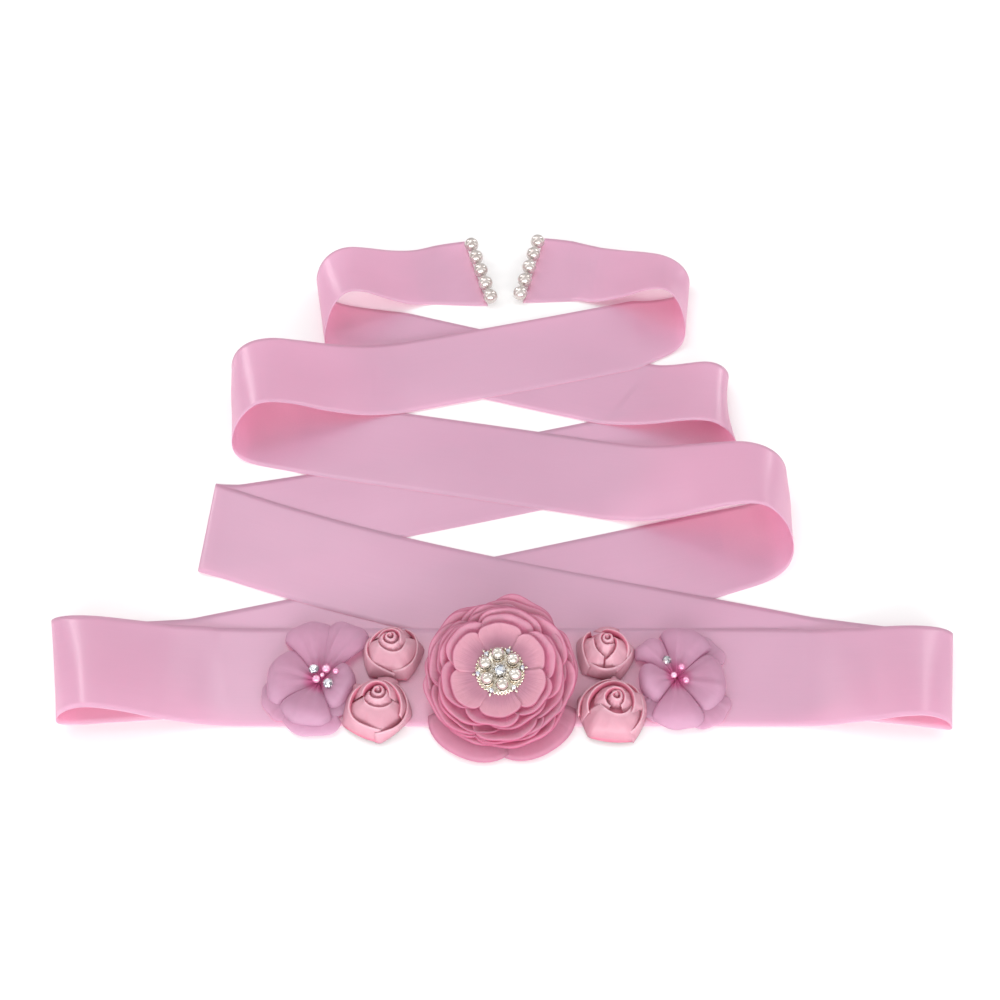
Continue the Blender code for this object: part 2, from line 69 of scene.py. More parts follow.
# Metres and watts; the two narrow boxes at the back give the loops their bands of light
Softbox = namedtuple("Softbox", "name place target size power")
SOFTBOXES = (
    Softbox("top_softbox", (-0.35, 0.30, 1.10), (0, -0.02, 0), (0.9, 0.6), 2.2),
    Softbox("back_left_softbox", (-0.95, 0.90, 0.85), (-0.1, 0, 0), (0.16, 0.9), 3.2),
    Softbox("back_right_softbox", (0.95, 0.90, 0.85), (0.1, 0, 0), (0.16, 0.9), 3.2),
    Softbox("low_front_softbox", (0.0, -1.5, 0.45), (0, 0, 0), (2.4, 0.6), 26.0),
    Softbox("front_softbox", (0.25, -0.9, 0.75), (0, -0.05, 0), (0.8, 0.5), 1.2),
    Softbox("left_strip", (-1.0, -0.15, 0.55), (-0.05, -0.05, 0), (0.25, 0.9), 1.2),
    Softbox("right_strip", (1.0, 0.0, 0.50), (0.05, -0.05, 0), (0.25, 0.9), 1.0),
)
ROOM_AT_HORIZON = (0.60, 0.60, 0.60)
ROOM_OVERHEAD = (0.70, 0.70, 0.70)
FLOOR_WHITES = ((0.945, 0.945, 0.945), (0.965, 0.96, 0.96))
FLOOR_HALF = 6.0
# The floor is a hair lower than the cloth that lies on it
FLOOR_DROP = 0.0002


def by_name(*rows):
    return {row.name: row for row in rows}


Stretch = namedtuple(
    "Stretch",
    "name left_x left_y left_slope left_cut left_lift right_x right_y right_slope right_cut right_lift layers",
)
STRETCHES = by_name(
    Stretch("front_band", -130, -187, 0.00, 0, 0, 145, -187, 0.00, 0, 0, 2),
    Stretch("left_tail_1", -165, -182.5, 0.24, 0, 0, 105, -114.5, 0.255, 0, 0, 0),
    Stretch("left_tail_2", -112, -25.0, -0.20, 0, 0, 60, -58.0, -0.21, 0, 0, 1),
    Stretch("left_tail_3", -60, 22.0, 0.24, 0, 2, 86, 59.5, 0.27, 0, 2, 2),
    Stretch("left_tail_end", 15, 120.0, 0.0, 15, 6, 50, 121.5, 0.04, 0, 2, 0),
    Stretch("right_tail_1", -150, -98.0, -0.38, 0, 0, 165, -181.5, -0.25, 0, 0, 1),
    Stretch("right_tail_2", -150, -90.5, 0.18, 0, 0, 90, -33.5, 0.26, 0, 0, 0),
    Stretch("right_tail_3", -60, 50.0, -0.32, 0, 0, 58, 14.5, -0.28, 34, 0, 1),
    Stretch("right_tail_end", -45, 118.5, -0.05, 0, 0.5, -8, 117.0, 0.02, -16, 6, 0),
)
Loop = namedtuple(
    "Loop",
    "name lower upper side layers near_x near_y near_height far_x far_y far_height ease",
)
LOOPS = by_name(
    Loop("front_left_loop", "left_tail_1", "front_band", -1, 0, -219, -188, 25, -235, -130, 14, 1.0),
    Loop("front_right_loop", "right_tail_1", "front_band", 1, 0, 223, -191, 19, 236, -138, 12, 1.0),
    Loop("right_loop_1", "left_tail_1", "left_tail_2", 1, 0, 159, -88, 42, 162, -37, 27, 1.0),
    Loop("left_fold", "right_tail_2", "right_tail_1", -1, 0, -165, -93, 1.8, -164, -32, 1.8, 1.0),
    Loop("left_loop_1", "left_tail_2", "left_tail_3", -1, 0, -156, -11, 35, -163, 46, 28, 1.0),
    Loop("right_loop_2", "right_tail_2", "right_tail_3", 1, 0, 139, -9, 20, 140, 46, 14, 1.0),
    Loop("left_loop_2", "right_tail_3", "right_tail_end", -1, 0, -110, 76, 30, -119, 125, 26, 0.6),
    Loop("right_loop_3", "left_tail_3", "left_tail_end", 1, 2, 117, 84, 29, 124, 128, 16, 0.7),
)
# How a loop's edges stand: the share of the reach and the share of the height
NEAR_PROFILE = (
    (0.00, 0.00), (0.38, 0.00), (0.72, 0.00), (0.93, 0.06), (1.00, 0.24), (0.965, 0.50),
    (0.885, 0.74), (0.76, 0.88), (0.58, 0.72), (0.38, 0.38), (0.18, 0.11), (0.00, 0.00),
)
FAR_PROFILE = (
    (0.00, 0.00), (0.38, 0.00), (0.72, 0.03), (0.92, 0.18), (1.00, 0.48), (0.96, 0.80),
    (0.86, 0.97), (0.72, 0.93), (0.55, 0.66), (0.36, 0.33), (0.17, 0.09), (0.00, 0.00),
)
# The row of the profiles that is at the loop's tip
TIP_STATION = 4

# The ribbon from its right-hand cut end to its left-hand one; a backward step runs right to left on a
# stretch, and from the upper stretch to the lower one on a loop
Step = namedtuple("Step", "name backward")
ROUTE = (
    Step("right_tail_end", True),
    Step("left_loop_2", True),
    Step("right_tail_3", False),
    Step("right_loop_2", True),
    Step("right_tail_2", True),
    Step("left_fold", False),
    Step("right_tail_1", False),
    Step("front_right_loop", False),
    Step("front_band", True),
    Step("front_left_loop", True),
    Step("left_tail_1", False),
    Step("right_loop_1", False),
    Step("left_tail_2", True),
    Step("left_loop_1", False),
    Step("left_tail_3", False),
    Step("right_loop_3", False),
    Step("left_tail_end", True),
)
RIBBON_STEP = 2.0
RIBBON_ACROSS = 18
RIBBON_WALL = 0.24
RIBBON_SMOOTHING = 3

# Soft ridges (and troughs, with a height under 0) in one piece of the ribbon. Their ends are shares of its
# length, from left to right or from the lower stretch to the upper one, and of its width, from the near edge
Crease = namedtuple("Crease", "piece start_along start_across end_along end_across width height")
CREASES = (
    Crease("front_left_loop", 0.74, 0.10, 0.78, 0.95, 7, -0.45),
    Crease("front_left_loop", 0.84, 0.30, 0.86, 1.00, 9, 0.40),
    Crease("front_left_loop", 0.93, 0.15, 0.90, 0.60, 8, -0.30),
    Crease("front_right_loop", 0.69, 0.05, 0.73, 0.95, 6, -0.50),
    Crease("front_right_loop", 0.79, 0.10, 0.80, 0.90, 8, 0.45),
    Crease("front_right_loop", 0.90, 0.20, 0.87, 0.95, 9, -0.35),
    Crease("right_loop_1", 0.71, 0.05, 0.73, 0.90, 7, 0.50),
    Crease("right_loop_1", 0.80, 0.20, 0.83, 0.80, 10, -0.40),
    Crease("right_loop_1", 0.22, 0.45, 0.34, 0.60, 12, 0.60),
    Crease("left_loop_1", 0.78, 0.30, 0.86, 0.45, 12, 0.50),
    Crease("left_loop_1", 0.20, 0.50, 0.33, 0.62, 10, 0.50),
    Crease("left_loop_2", 0.82, 0.20, 0.86, 0.80, 9, 0.40),
    Crease("right_loop_3", 0.88, 0.85, 0.97, 0.15, 8, -0.50),
    Crease("right_loop_3", 0.79, 0.20, 0.81, 0.80, 8, 0.45),
    Crease("right_loop_2", 0.83, 0.30, 0.95, 0.45, 12, 0.40),
    Crease("front_band", 0.05, 0.20, 0.08, 0.80, 10, 0.20),
    Crease("front_band", 0.92, 0.25, 0.96, 0.85, 10, 0.20),
)

FLOWER_Y = -163.0
FLOWER_LEAN = 0.24
FLOWER_TILT = 0.19
BOWL_DEPTH = 6.0
BOWL_RADIUS = 41.0


def to_world(points):
    return (np.asarray(points, float) - PLAN_MIDDLE) * MM


def smooth_step(value):
    value = min(1.0, max(0.0, value))
    return value * value * (3 - 2 * value)


def smooth_curve(points, count):
    """Points at equal steps of length along a smooth curve through the given points."""
    points = np.asarray(points, float)
    ends = np.vstack([2 * points[0] - points[1], points, 2 * points[-1] - points[-2]])
    dense = []
    for i in range(1, len(ends) - 2):
        before, start, end, after = ends[i - 1 : i + 3]
        bend = 2 * before - 5 * start + 4 * end - after
        twist = 3 * start - before - 3 * end + after
        for t in np.linspace(0, 1, 24, endpoint=False):
            dense.append((2 * start + (end - before) * t + bend * t**2 + twist * t**3) / 2)
    dense.append(points[-1])
    dense = np.array(dense)
    steps = np.linalg.norm(np.diff(dense, axis=0), axis=1)
    length = np.concatenate([[0], np.cumsum(steps)])
    wanted = np.linspace(0, length[-1], count)
    return np.column_stack([np.interp(wanted, length, column) for column in dense.T])


# Camera, floor and light


def make_camera():
    data = bpy.data.cameras.new("camera")
    data.lens = CAMERA_LENS
    data.sensor_width = CAMERA_SENSOR
    camera = bpy.data.objects.new("camera", data)
    camera.location = CAMERA_PLACE
    camera.rotation_euler = (math.radians(90 - CAMERA_DOWN), 0, 0)
    bpy.context.scene.collection.objects.link(camera)
    bpy.context.scene.camera = camera


def make_light(row):
    data = bpy.data.lights.new(row.name, "AREA")
    data.shape = "RECTANGLE"
    data.size, data.size_y = row.size
    data.energy = row.power
    light = bpy.data.objects.new(row.name, data)
    light.location = row.place
    light.rotation_euler = (Vector(row.target) - Vector(row.place)).to_track_quat("-Z", "Y").to_euler()
    bpy.context.scene.collection.objects.link(light)


def make_world():
    """A white room, brighter overhead than at the horizon."""
    world = bpy.data.worlds.new("studio")
    world.use_nodes = True
    room = Shading(world.node_tree)
    upwards = room.parts("Generated")["Z"]
    colour = room.ramp(upwards, ((0.0, ROOM_AT_HORIZON), (1.0, ROOM_OVERHEAD)), smooth=False)
    background = room.nodes["Background"]
    room.link(colour, background.inputs["Color"])
    background.inputs["Strength"].default_value = 1.0
    bpy.context.scene.world = world


def make_studio():
    bpy.context.scene.view_settings.view_transform = "Standard"
    make_world()
    for row in SOFTBOXES:
        make_light(row)

    paper = Finish("floor", Roughness=0.9, Specular_IOR_Level=0.1)
    grain = paper.node("TexNoise", Scale=12).outputs["Fac"]
    paper.set(Base_Color=paper.ramp(grain, ((0.0, FLOOR_WHITES[0]), (1.0, FLOOR_WHITES[1]))))
    mesh = bpy.data.meshes.new("floor")
    corners = [(x * FLOOR_HALF, y * FLOOR_HALF, 0) for x, y in ((-1, -1), (1, -1), (1, 1), (-1, 1))]
    mesh.from_pydata(corners, [], [(0, 1, 2, 3)])
    mesh.materials.append(paper.material)
    floor = bpy.data.objects.new("floor", mesh)
    floor.location.z = -FLOOR_DROP
    bpy.context.scene.collection.objects.link(floor)


# Materials

BLACK = (0, 0, 0)
WHITE = (1, 1, 1)
THREADS = (30, 2600, 1)
SLOW_TONES = (9, 14, 1)
THREAD_SHARE = 0.35
# Where the firm edge ends and the plain weave starts, as shares of the ribbon's width
SELVAGE_END = 0.012
WEAVE_START = 0.022
# How far the satin feels shelter, and between which shares of open sky its colour changes: the rosier colour
# of sheltered places is painted light
SHELTER_REACH = 0.04
SHELTERED = 0.3
IN_THE_OPEN = 0.85


class Shading:
    """The nodes of the world or of a material."""

    def __init__(self, tree):
        self.nodes = tree.nodes
        self.link = tree.links.new

    def feed(self, socket, value):
        """Links another node's output to the socket, or sets the socket's own value."""
        if isinstance(value, bpy.types.NodeSocket):
            self.link(value, socket)
        elif socket.type == "RGBA":
            socket.default_value = (*value, 1)
        else:
            socket.default_value = value

    def node(self, kind, **sockets):
        node = self.nodes.new("ShaderNode" + kind)
        for name, value in sockets.items():
            self.feed(node.inputs[name], value)
        return node

    def place(self, scale=(1, 1, 1), source="Object"):
        place = self.node("TexCoord").outputs[source]
        return self.node("Mapping", Vector=place, Scale=scale).outputs["Vector"]

    def parts(self, source):
        """X, Y and Z of the place on the surface."""
        return self.node("SeparateXYZ", Vector=self.node("TexCoord").outputs[source]).outputs

    def ramp(self, factor, stops, smooth=True):
        ramp = self.node("ValToRGB", Fac=factor)
        ramp.color_ramp.interpolation = "EASE" if smooth else "LINEAR"
        elements = ramp.color_ramp.elements
        while len(elements) < len(stops):
            elements.new(0.5)
        for element, (position, colour) in zip(elements, stops):
            element.position = position
            element.color = (*colour, 1)
        return ramp.outputs["Color"]

    def noise(self, place, scale, detail):
        return self.node("TexNoise", Vector=place, Scale=scale, Detail=detail, Roughness=0.55).outputs["Fac"]

    def mix(self, first, second, factor, mode="MIX"):
        mix = self.node("Mix")
        mix.data_type = "RGBA"
        mix.blend_type = mode
        self.feed(mix.inputs["Factor"], factor)
        self.feed(mix.inputs[6], first)
        self.feed(mix.inputs[7], second)
        return mix.outputs[2]

    def arithmetic(self, operation, first, second):
        node = self.node("Math")
        node.operation = operation
        self.feed(node.inputs[0], first)
        self.feed(node.inputs[1], second)
        return node.outputs[0]

    def bump(self, height, distance, strength, below=None):
        node = self.node("Bump", Height=height, Distance=distance, Strength=strength)
        if below is not None:
            self.link(below, node.inputs["Normal"])
        return node.outputs["Normal"]


class Finish(Shading):
    """A material whose shader's sockets are set by their names, with _ for a space."""

    def __init__(self, name, **sockets):
        self.material = bpy.data.materials.new(name)
        self.material.use_nodes = True
        super().__init__(self.material.node_tree)
        self.shader = self.nodes["Principled BSDF"]
        self.set(**sockets)

    def set(self, **sockets):
        for name, value in sockets.items():
            self.feed(self.shader.inputs[name.replace("_", " ")], value)

    def let_light_through(self, colour, share):
        """Part of the light that meets the cloth comes out on its other side, in a deeper colour."""
        through = self.node("BsdfTranslucent", Color=colour)
        mix = self.node("MixShader", Fac=share)
        self.link(self.shader.outputs["BSDF"], mix.inputs[1])
        self.link(through.outputs["BSDF"], mix.inputs[2])
        self.link(mix.outputs["Shader"], self.nodes["Material Output"].inputs["Surface"])


def satin_material(name, light, dark, edge, painted_inside_light, through, share):
    """Satin: threads along the UV's first axis, a firm woven edge, slow changes of tone and a soft gloss.

    Inside a loop, and wherever else the occlusion finds the satin sheltered, a brighter, rosier colour is
    painted in: painted light that stands in for the light bouncing inside the loops.
    """
    satin = Finish(name, Roughness=0.27, Specular_IOR_Level=1.0, Anisotropic=0.35)
    satin.set(Sheen_Weight=0.08, Sheen_Roughness=0.35, Sheen_Tint=(1.0, 0.88, 0.97))
    streaks = satin.noise(satin.place(THREADS, "UV"), 1.0, 4.0)
    slow = satin.noise(satin.place(SLOW_TONES, "UV"), 1.0, 2.0)
    fine_tone = satin.arithmetic("MULTIPLY", streaks, THREAD_SHARE)
    broad_tone = satin.arithmetic("MULTIPLY", slow, 1 - THREAD_SHARE)
    tone = satin.arithmetic("ADD", fine_tone, broad_tone)
    colour = satin.ramp(tone, ((0.3, dark), (0.7, light)))
    across = satin.arithmetic("DIVIDE", satin.parts("UV")["Y"], RIBBON_WIDTH * MM)
    selvage = satin.ramp(
        across,
        (
            (0.0, WHITE),
            (SELVAGE_END, WHITE),
            (WEAVE_START, BLACK),
            (1 - WEAVE_START, BLACK),
            (1 - SELVAGE_END, WHITE),
        ),
    )
    colour = satin.mix(colour, edge, selvage)
    # Painted light: the occlusion mask paints the brighter, rosier colour into sheltered places such as the
    # insides of the loops
    shelter = satin.node("AmbientOcclusion", Distance=SHELTER_REACH)
    shelter.samples = 4
    painted_light_mask = satin.ramp(shelter.outputs["AO"], ((SHELTERED, WHITE), (IN_THE_OPEN, BLACK)))
    satin.set(Base_Color=satin.mix(colour, painted_inside_light, painted_light_mask))
    weave = satin.node("TexWave", Vector=satin.place(source="UV"), Scale=900, Distortion=1.5, Detail=1.0)
    weave.bands_direction = "DIAGONAL"
    fine = satin.bump(weave.outputs["Fac"], 0.00004, 0.2)
    satin.set(Normal=satin.bump(slow, 0.0012, 0.15, fine))
    tangent = satin.node("Tangent")
    tangent.direction_type = "UV_MAP"
    tangent.uv_map = "cloth"
    satin.set(Tangent=tangent.outputs["Tangent"])
    satin.let_light_through(through, share)
    return satin.material


def petal_material(name, stops, through, share, roughness=0.62, alpha=1.0, pleating=0.35):
    """Cloth whose colour changes towards its edge; the UV's first axis is the share of the petal's reach."""
    cloth = Finish(name, Roughness=roughness, Alpha=alpha)
    cloth.set(Sheen_Weight=0.12, Sheen_Roughness=0.5, Sheen_Tint=(1.0, 0.86, 0.92))
    colour = cloth.ramp(cloth.parts("UV")["X"], stops)
    mottle = cloth.noise(cloth.place(), 220.0, 4.0)
    shade = cloth.ramp(mottle, ((0.3, (0.90, 0.87, 0.89)), (0.7, WHITE)))
    cloth.set(Base_Color=cloth.mix(colour, shade, 0.6, "MULTIPLY"))
    weave = cloth.bump(cloth.noise(cloth.place(), 2400.0, 2.0), 0.0001, 0.25)
    puckers = cloth.bump(cloth.noise(cloth.place(), 95.0, 3.0), 0.0012, 0.3, weave)
    pleats = cloth.noise(cloth.place((1.5, 14, 1), "UV"), 1.0, 2.0)
    cloth.set(Normal=cloth.bump(pleats, 0.0015, pleating, puckers))
    cloth.let_light_through(through, share)
    return cloth.material


def pearl_material(name, body, glow, metallic):
    """Imitation pearl: a mirror-like coat over a milky body with faint clouds."""
    pearl = Finish(name, Roughness=0.16, Metallic=metallic, Specular_IOR_Level=0.8)
    pearl.set(Coat_Weight=1.0, Coat_Roughness=0.05)
    clouds = pearl.noise(pearl.place(), 260.0, 2.0)
    pearl.set(Base_Color=pearl.ramp(clouds, ((0.35, body), (0.65, glow))))
    pits = pearl.noise(pearl.place(), 900.0, 2.0)
    pearl.set(Normal=pearl.bump(pits, 0.00005, 0.12))
    return pearl.material


def metal_material(name, bright, dull):
    metal = Finish(name, Roughness=0.22, Metallic=1.0)
    wear = metal.noise(metal.place(), 700.0, 4.0)
    metal.set(Base_Color=metal.ramp(wear, ((0.3, dull), (0.65, bright))))
    metal.set(Normal=metal.bump(wear, 0.0001, 0.3))
    return metal.material


def stone_material(name, tint):
    """A foil-backed cut stone: bright mirror facets with a slight tint that varies."""
    stone = Finish(name, Roughness=0.06, Metallic=0.75, Coat_Weight=1.0)
    facets = stone.node("TexVoronoi", Vector=stone.place(), Scale=900)
    split = stone.node("SeparateColor", Color=facets.outputs["Color"])
    stops = ((0.0, (0.25, 0.25, 0.28)), (0.4, tint), (1.0, WHITE))
    stone.set(Base_Color=stone.ramp(split.outputs["Red"], stops))
    return stone.material


# Meshes


def new_piece(name, mesh, material, slot, *nodes):
    """A finished piece: it rides on the one body, takes the given material and stands for its CAD nodes."""
    mesh.materials.append(material)
    mesh.shade_smooth()
    piece = bpy.data.objects.new(name, mesh)
    bpy.context.scene.collection.objects.link(piece)
    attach(piece, "root")
    if nodes:
        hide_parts(*nodes)
    return piece


def add_wall(piece, thickness):
    wall = piece.modifiers.new("wall", "SOLIDIFY")
    wall.thickness = thickness * MM
    wall.offset = 0.0


def blank_sheet(rows, columns):
    """The points and the UVs of a grid, to be filled in."""
    return np.zeros((rows, columns, 3)), np.zeros((rows, columns, 2))


def spread(low, high, i, count):
    """The i-th of count values at equal steps from low to high."""
    return low + (high - low) * i / (count - 1)


class MeshMaker:
    """Collects grids and solids of points in millimetres into one mesh with a UV map."""

    def __init__(self, shift=SETTLE):
        self.shift = shift
        self.points = []
        self.faces = []
        self.uvs = []

    def add(self, points, faces, uvs=None):
        start = sum(len(block) for block in self.points)
        points = np.asarray(points, float)
        self.points.append(points)
        self.faces.extend(tuple(start + i for i in face) for face in faces)
        self.uvs.append(np.zeros((len(points), 2)) if uvs is None else np.asarray(uvs, float))

    def add_grid(self, grid, uvs=None, around=False):
        """A sheet from rows of points; around joins each row's end to its start."""
        rows, columns = grid.shape[:2]
        faces = []
        for i in range(rows - 1):
            for j in range(columns if around else columns - 1):
                after = (j + 1) % columns
                faces.append(
                    (i * columns + j, (i + 1) * columns + j, (i + 1) * columns + after, i * columns + after)
                )
        self.add(grid.reshape(-1, 3), faces, None if uvs is None else uvs.reshape(-1, 2))

    def add_ball(self, centre, radius, segments=20, rings=12):
        shell = bmesh.new()
        bmesh.ops.create_uvsphere(shell, u_segments=segments, v_segments=rings, radius=radius)
        points = [tuple(v.co + Vector(centre)) for v in shell.verts]
        faces = [[v.index for v in face.verts] for face in shell.faces]
        shell.free()
        self.add(points, faces)

    def mesh(self, name):
        mesh = bpy.data.meshes.new(name)
        points = to_world(np.vstack(self.points) + self.shift)
        mesh.from_pydata(points.tolist(), [], self.faces)
        layer = mesh.uv_layers.new(name="cloth")
        uvs = np.vstack(self.uvs)
        corners = np.zeros(len(mesh.loops), int)
        mesh.loops.foreach_get("vertex_index", corners)
        layer.data.foreach_set("uv", uvs[corners].ravel())
        mesh.validate()
        mesh.update()
        return mesh


# The ribbon


def middle_height(layers):
    return FIRST_LAYER + layers * LAYER_STEP


def near_edge(row, x):
    length = row.right_x - row.left_x
    t = (x - row.left_x) / length
    rise = row.right_y - row.left_y
    y = (
        row.left_y
        + rise * (3 * t**2 - 2 * t**3)
        + length * row.left_slope * (t - 2 * t**2 + t**3)
        + length * row.right_slope * (t**3 - t**2)
    )
    slope = (
        rise / length * (6 * t - 6 * t**2)
        + row.left_slope * (1 - 4 * t + 3 * t**2)
        + row.right_slope * (3 * t**2 - 2 * t)
    )
    return y, slope


def edge_points(row, x):
    y, slope = near_edge(row, x)
    share = (x - row.left_x) / (row.right_x - row.left_x)
    z = middle_height(row.layers)
    far_x = x + row.left_cut * (1 - share) + row.right_cut * share
    far_y = y + (far_x - x) * slope + RIBBON_WIDTH * math.sqrt(1 + slope**2)
    lift = row.left_lift * (1 - share) + row.right_lift * share
    return np.array([x, y, z]), np.array([far_x, far_y, z + lift])


def loop_edge(profile, start, end, layers, tip, count, ease=1.0):
    """One edge of a loop, from the lower stretch's end over the tip to the upper stretch's end."""
    tip_x, tip_y, height = tip
    stations = []
    last = len(profile) - 1
    for i, (along, up) in enumerate(profile):
        foot = start + (end - start) * i / last
        x = foot[0] + (tip_x - foot[0]) * along
        if i <= TIP_STATION:
            y = start[1] + (tip_y - start[1]) * (i / TIP_STATION)
        else:
            y = tip_y + (end[1] - tip_y) * ((i - TIP_STATION) / (last - TIP_STATION)) ** ease
        foot_z = middle_height(layers) if 0 < i <= TIP_STATION else foot[2]
        stations.append((x, y, foot_z + (height - foot_z) * up))
    curve = smooth_curve(stations, count)
    curve[:, 2] = np.maximum(curve[:, 2], middle_height(layers))
    return curve


def stretch_edges(row):
    count = max(3, round((row.right_x - row.left_x) / RIBBON_STEP) + 1)
    pairs = [edge_points(row, x) for x in np.linspace(row.left_x, row.right_x, count)]
    return np.array([near for near, _ in pairs]), np.array([far for _, far in pairs])


def loop_edges(row):
    at = "right_x" if row.side > 0 else "left_x"
    lower = STRETCHES[row.lower]
    upper = STRETCHES[row.upper]
    near_start, far_start = edge_points(lower, getattr(lower, at))
    near_end, far_end = edge_points(upper, getattr(upper, at))
    reach = abs(row.near_x - near_start[0]) + abs(row.near_x - near_end[0]) + row.near_height
    count = max(40, round(reach / RIBBON_STEP))
    near_tip = (row.near_x, row.near_y, row.near_height)
    far_tip = (row.far_x, row.far_y, row.far_height)
    near = loop_edge(NEAR_PROFILE, near_start, near_end, row.layers, near_tip, count, row.ease)
    far = loop_edge(FAR_PROFILE, far_start, far_end, row.layers, far_tip, count)
    return near, far


def softened(curve):
    """The curve with its corners rounded by averaging neighbours; its ends stay."""
    for _ in range(RIBBON_SMOOTHING):
        curve = curve.copy()
        curve[1:-1] = (curve[:-2] + 2 * curve[1:-1] + curve[2:]) / 4
    return curve


def ribbon_edges():
    """Both edges of the whole ribbon, from one cut end to the other, and the rows of each piece."""
    nears, fars, spans = [], [], {}
    rows = 0
    for step in ROUTE:
        if step.name in LOOPS:
            near, far = loop_edges(LOOPS[step.name])
        else:
            near, far = stretch_edges(STRETCHES[step.name])
        if step.backward:
            near, far = near[::-1], far[::-1]
        first = 0 if not nears else 1
        nears.append(near[first:])
        fars.append(far[first:])
        spans[step.name] = (rows, rows + len(near) - first, step.backward)
        rows += len(near) - first
    return softened(np.vstack(nears)), softened(np.vstack(fars)), spans


def add_creases(grid, along, spans):
    """Raises or sinks the sheet softly along each crease."""
    lengthwise = np.gradient(grid, axis=0)
    crosswise = np.gradient(grid, axis=1)
    normals = np.cross(lengthwise, crosswise)
    normals /= np.linalg.norm(normals, axis=2, keepdims=True)
    across = np.linspace(0, 1, grid.shape[1])
    moved = grid.copy()
    for crease in CREASES:
        first, last, backward = spans[crease.piece]
        length = along[last - 1] - along[first]
        share = (along[first:last] - along[first]) / length
        if backward:
            share = 1 - share
        place = np.stack(
            np.broadcast_arrays((share * length)[:, None], (across * RIBBON_WIDTH)[None, :]), axis=2
        )
        start = np.array([crease.start_along * length, crease.start_across * RIBBON_WIDTH])
        end = np.array([crease.end_along * length, crease.end_across * RIBBON_WIDTH])
        line = end - start
        t = np.clip(((place - start) @ line) / (line @ line), 0, 1)
        distance = np.linalg.norm(place - start - t[:, :, None] * line, axis=2)
        rise = crease.height * np.exp(-((distance / crease.width) ** 2))
        block = normals[first:last]
        if crease.piece in LOOPS:
            middle = grid[first:last].mean(axis=(0, 1))
            outward = np.sum(block * (grid[first:last] - middle), axis=2)
        else:
            outward = block[:, :, 2]
        moved[first:last] += block * (rise * np.where(outward < 0, -1, 1))[:, :, None]
    return moved


def build_ribbon():
    near, far, spans = ribbon_edges()
    middle = (near + far) / 2
    steps = np.linalg.norm(np.diff(middle, axis=0), axis=1)
    along = np.concatenate([[0], np.cumsum(steps)])
    share = np.linspace(0, 1, RIBBON_ACROSS + 1)
    grid = near[:, None, :] * (1 - share)[None, :, None] + far[:, None, :] * share[None, :, None]
    grid = add_creases(grid, along, spans)
    uvs = np.zeros((len(near), RIBBON_ACROSS + 1, 2))
    uvs[:, :, 0] = along[:, None] * MM
    uvs[:, :, 1] = (share * RIBBON_WIDTH * MM)[None, :]
    maker = MeshMaker(shift=np.zeros(3))
    maker.add_grid(grid, uvs)
    satin = satin_material(
        "satin",
        light=(0.67, 0.485, 0.635),
        dark=(0.61, 0.435, 0.58),
        edge=(0.64, 0.455, 0.60),
        # The painted light inside the loops
        painted_inside_light=(1.00, 0.64, 0.78),
        through=(1.00, 0.60, 0.76),
        share=0.38,
    )
    ribbon = new_piece("ribbon", maker.mesh("ribbon"), satin, "satin", *[step.name for step in ROUTE])
    add_wall(ribbon, RIBBON_WALL)


# The large flower


def layer_centre(height):
    return 0.0, FLOWER_Y - FLOWER_LEAN * (height - SOLID_FRONT_TOP)


FlowerLayer = namedtuple("FlowerLayer", "name node radius petals turn notch height curl dome seed")
FLOWER_LAYERS = (
    FlowerLayer("flower_petals_1", "flower_layer_1", 41.5, 6, 8, 0.12, 9.0, 1.8, 0.8, 11),
    FlowerLayer("flower_petals_1b", None, 40.0, 5, 70, 0.12, 10.1, 1.7, 0.8, 12),
    FlowerLayer("flower_petals_2", "flower_layer_2", 38.6, 6, 40, 0.12, 11.3, 2.0, 0.8, 13),
    FlowerLayer("flower_petals_2b", None, 37.0, 5, 15, 0.12, 12.4, 1.8, 0.8, 14),
    FlowerLayer("flower_petals_3", "flower_layer_3", 35.6, 6, 35, 0.12, 13.6, 1.8, 0.8, 15),
    FlowerLayer("flower_petals_4", "flower_layer_4", 33.0, 5, 5, 0.13, 15.6, 1.6, 0.8, 16),
    FlowerLayer("flower_petals_5", "flower_layer_5", 29.5, 6, 20, 0.13, 17.8, 1.1, 0.7, 17),
    FlowerLayer("flower_petals_6", "flower_layer_6", 25.2, 6, 30, 0.15, 19.9, 0.25, 0.25, 18),
)
PETAL_BLADE = 0.35
PETAL_ROOT = 0.06
PETAL_OVERLAP = 1.08
PETAL_WALL = 0.35
BACKING_PETALS = 6
BACKING_REACH = 47.0
BACKING_HEIGHT = 6.5

# Colours from a petal's root to its rim; the deep saturated band from 0.55 to 0.84 is painted shade where the
# layer above lies over the petal, and the colour is paler just inside the rim
PETAL_BODY = (0.58, 0.285, 0.39)
PETAL_COLOURS = (
    (0.0, PETAL_BODY),
    (0.55, (0.73, 0.16, 0.34)),
    (0.84, (0.71, 0.27, 0.43)),
    (0.93, (0.72, 0.42, 0.54)),
    (0.985, (0.71, 0.39, 0.52)),
    (1.0, (0.60, 0.18, 0.32)),
)
TOP_PETAL_COLOURS = (
    (0.0, PETAL_BODY),
    (0.60, PETAL_BODY),
    (0.90, (0.72, 0.38, 0.48)),
    (0.965, (0.74, 0.40, 0.51)),
    (1.0, (0.50, 0.15, 0.26)),
)
BACKING_COLOURS = (
    (0.0, (0.64, 0.285, 0.42)),
    (0.7, (0.64, 0.31, 0.445)),
    (0.97, (0.64, 0.375, 0.49)),
    (1.0, (0.58, 0.29, 0.41)),
)


